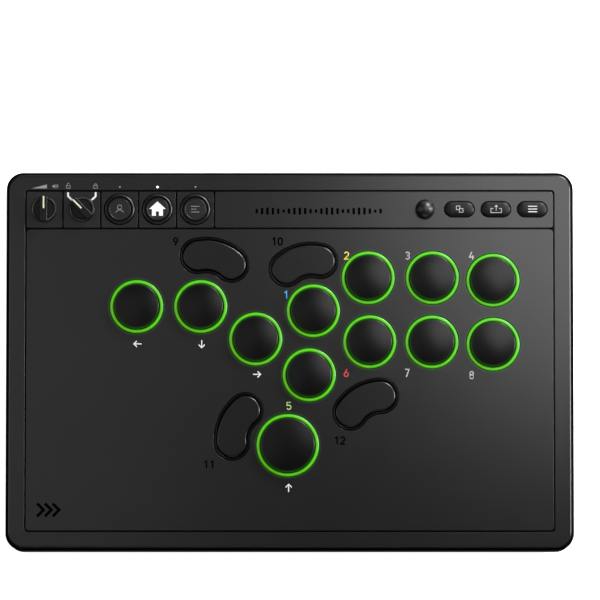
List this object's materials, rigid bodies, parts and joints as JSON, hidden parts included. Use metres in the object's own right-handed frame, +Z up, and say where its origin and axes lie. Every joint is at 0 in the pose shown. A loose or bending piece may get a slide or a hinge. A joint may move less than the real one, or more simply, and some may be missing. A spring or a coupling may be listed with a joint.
{
  "type": "all-button arcade controller",
  "caption": "Slim desktop game controller with lit round push buttons, kidney-shaped function buttons, and a back control strip with knobs and a mini thumb stick.",
  "frame": {"origin": "on the surface that the feet stand on, under the middle of the case", "axes": "+X to the player's right, +Y away from the player towards the control strip, +Z up"},
  "size_m": [0.3, 0.2, 0.0402],
  "materials": {
    "case_plastic": "fine matt texture",
    "frame_plastic": "fine matt texture",
    "panel_metal": "fine matt powder coat",
    "cap_plastic": "satin",
    "kidney_plastic": "matt",
    "menu_plastic": "satin",
    "knob_plastic": "satin",
    "light_guide": "clear, lit green from below",
    "status_light": "clear, lit white",
    "legend_print": "screen print",
    "rubber": "matt",
    "circuit_board": "solder mask",
    "battery_wrap": "shrink wrap",
    "switch_plastic": "satin",
    "bright_metal": "plated"
  },
  "bodies": {
    "case": {"battery_pack": "battery_wrap", "button_panel": "panel_metal", "case_screw_1": "bright_metal", "case_screw_2": "bright_metal", "case_screw_3": "bright_metal", "case_screw_4": "bright_metal", "control_strip": "panel_metal", "headset_jack": "switch_plastic", "light_guide": "light_guide", "lock_rotary_switch": "bright_metal", "lower_case": "case_plastic", "main_board": "circuit_board", "plain_strip": "panel_metal", "rubber_foot_1": "rubber", "rubber_foot_2": "rubber", "rubber_foot_3": "rubber", "rubber_foot_4": "rubber", "status_lights": "status_light", "switch_action_1": "switch_plastic", "switch_action_2": "switch_plastic", "switch_action_3": "switch_plastic", "switch_action_4": "switch_plastic", "switch_action_5": "switch_plastic", "switch_action_6": "switch_plastic", "switch_action_7": "switch_plastic", "switch_action_8": "switch_plastic", "switch_down": "switch_plastic", "switch_left": "switch_plastic", "switch_right": "switch_plastic", "switch_up": "switch_plastic", "thumb_stick_base": "switch_plastic", "top_frame": "frame_plastic", "usb_socket": "bright_metal", "volume_potentiometer": "bright_metal"},
    "cap_action_1": {"cap_action_1": "cap_plastic"},
    "cap_action_2": {"cap_action_2": "cap_plastic"},
    "cap_action_3": {"cap_action_3": "cap_plastic"},
    "cap_action_4": {"cap_action_4": "cap_plastic"},
    "cap_action_5": {"cap_action_5": "cap_plastic"},
    "cap_action_6": {"cap_action_6": "cap_plastic"},
    "cap_action_7": {"cap_action_7": "cap_plastic"},
    "cap_action_8": {"cap_action_8": "cap_plastic"},
    "cap_down": {"cap_down": "cap_plastic"},
    "cap_left": {"cap_left": "cap_plastic"},
    "cap_right": {"cap_right": "cap_plastic"},
    "cap_up": {"cap_up": "cap_plastic"},
    "cap_function_1": {"cap_function_1": "kidney_plastic"},
    "cap_function_2": {"cap_function_2": "kidney_plastic"},
    "cap_function_3": {"cap_function_3": "kidney_plastic"},
    "cap_function_4": {"cap_function_4": "kidney_plastic"},
    "profile_button": {"profile_button": "menu_plastic"},
    "home_button": {"home_button": "menu_plastic"},
    "macro_button": {"macro_button": "menu_plastic"},
    "view_button": {"view_button": "menu_plastic"},
    "share_button": {"share_button": "menu_plastic"},
    "menu_button": {"menu_button": "menu_plastic"},
    "volume_knob": {"volume_knob": "knob_plastic"},
    "lock_knob": {"lock_knob": "knob_plastic"},
    "thumb_stick": {"thumb_stick": "cap_plastic"},
    "thumb_stick_gimbal": {"thumb_stick_gimbal": "bright_metal"}
  },
  "joints": [
    {"name": "action_1_press", "type": "slide", "parent": "case", "child": "cap_action_1", "axis": [0, 0, -1], "range_m": [0, 0.003], "stiffness_N_per_m": 130, "springref_m": -0.002},
    {"name": "action_2_press", "type": "slide", "parent": "case", "child": "cap_action_2", "axis": [0, 0, -1], "range_m": [0, 0.003], "stiffness_N_per_m": 130, "springref_m": -0.002},
    {"name": "action_3_press", "type": "slide", "parent": "case", "child": "cap_action_3", "axis": [0, 0, -1], "range_m": [0, 0.003], "stiffness_N_per_m": 130, "springref_m": -0.002},
    {"name": "action_4_press", "type": "slide", "parent": "case", "child": "cap_action_4", "axis": [0, 0, -1], "range_m": [0, 0.003], "stiffness_N_per_m": 130, "springref_m": -0.002},
    {"name": "action_5_press", "type": "slide", "parent": "case", "child": "cap_action_5", "axis": [0, 0, -1], "range_m": [0, 0.003], "stiffness_N_per_m": 130, "springref_m": -0.002},
    {"name": "action_6_press", "type": "slide", "parent": "case", "child": "cap_action_6", "axis": [0, 0, -1], "range_m": [0, 0.003], "stiffness_N_per_m": 130, "springref_m": -0.002},
    {"name": "action_7_press", "type": "slide", "parent": "case", "child": "cap_action_7", "axis": [0, 0, -1], "range_m": [0, 0.003], "stiffness_N_per_m": 130, "springref_m": -0.002},
    {"name": "action_8_press", "type": "slide", "parent": "case", "child": "cap_action_8", "axis": [0, 0, -1], "range_m": [0, 0.003], "stiffness_N_per_m": 130, "springref_m": -0.002},
    {"name": "down_press", "type": "slide", "parent": "case", "child": "cap_down", "axis": [0, 0, -1], "range_m": [0, 0.003], "stiffness_N_per_m": 130, "springref_m": -0.002},
    {"name": "left_press", "type": "slide", "parent": "case", "child": "cap_left", "axis": [0, 0, -1], "range_m": [0, 0.003], "stiffness_N_per_m": 130, "springref_m": -0.002},
    {"name": "right_press", "type": "slide", "parent": "case", "child": "cap_right", "axis": [0, 0, -1], "range_m": [0, 0.003], "stiffness_N_per_m": 130, "springref_m": -0.002},
    {"name": "up_press", "type": "slide", "parent": "case", "child": "cap_up", "axis": [0, 0, -1], "range_m": [0, 0.003], "stiffness_N_per_m": 130, "springref_m": -0.002},
    {"name": "function_1_press", "type": "slide", "parent": "case", "child": "cap_function_1", "axis": [0, 0, -1], "range_m": [0, 0.001], "stiffness_N_per_m": 300, "springref_m": -0.001},
    {"name": "function_2_press", "type": "slide", "parent": "case", "child": "cap_function_2", "axis": [0, 0, -1], "range_m": [0, 0.001], "stiffness_N_per_m": 300, "springref_m": -0.001},
    {"name": "function_3_press", "type": "slide", "parent": "case", "child": "cap_function_3", "axis": [0, 0, -1], "range_m": [0, 0.001], "stiffness_N_per_m": 300, "springref_m": -0.001},
    {"name": "function_4_press", "type": "slide", "parent": "case", "child": "cap_function_4", "axis": [0, 0, -1], "range_m": [0, 0.001], "stiffness_N_per_m": 300, "springref_m": -0.001},
    {"name": "profile_button_press", "type": "slide", "parent": "case", "child": "profile_button", "axis": [0, 0, -1], "range_m": [0, 0.001], "stiffness_N_per_m": 300, "springref_m": -0.001},
    {"name": "home_button_press", "type": "slide", "parent": "case", "child": "home_button", "axis": [0, 0, -1], "range_m": [0, 0.001], "stiffness_N_per_m": 300, "springref_m": -0.001},
    {"name": "macro_button_press", "type": "slide", "parent": "case", "child": "macro_button", "axis": [0, 0, -1], "range_m": [0, 0.001], "stiffness_N_per_m": 300, "springref_m": -0.001},
    {"name": "view_button_press", "type": "slide", "parent": "case", "child": "view_button", "axis": [0, 0, -1], "range_m": [0, 0.001], "stiffness_N_per_m": 300, "springref_m": -0.001},
    {"name": "share_button_press", "type": "slide", "parent": "case", "child": "share_button", "axis": [0, 0, -1], "range_m": [0, 0.001], "stiffness_N_per_m": 300, "springref_m": -0.001},
    {"name": "menu_button_press", "type": "slide", "parent": "case", "child": "menu_button", "axis": [0, 0, -1], "range_m": [0, 0.001], "stiffness_N_per_m": 300, "springref_m": -0.001},
    {"name": "volume_turn", "type": "hinge", "parent": "case", "child": "volume_knob", "pos_m": [-0.13, 0.0803, 0.033], "axis": [0, 0, 1], "range_deg": [-140, 140]},
    {"name": "lock_turn", "type": "hinge", "parent": "case", "child": "lock_knob", "pos_m": [-0.11, 0.0803, 0.033], "axis": [0, 0, 1], "range_deg": [-90, 0]},
    {"name": "stick_tilt_y", "type": "hinge", "parent": "case", "child": "thumb_stick_gimbal", "pos_m": [0.0716, 0.0802, 0.027], "axis": [1, 0, 0], "range_deg": [-12, 12], "stiffness_Nm_per_rad": 0.01},
    {"name": "stick_tilt_x", "type": "hinge", "parent": "thumb_stick_gimbal", "child": "thumb_stick", "pos_m": [0.0716, 0.0802, 0.027], "axis": [0, 1, 0], "range_deg": [-12, 12], "stiffness_Nm_per_rad": 0.01}
  ]
}
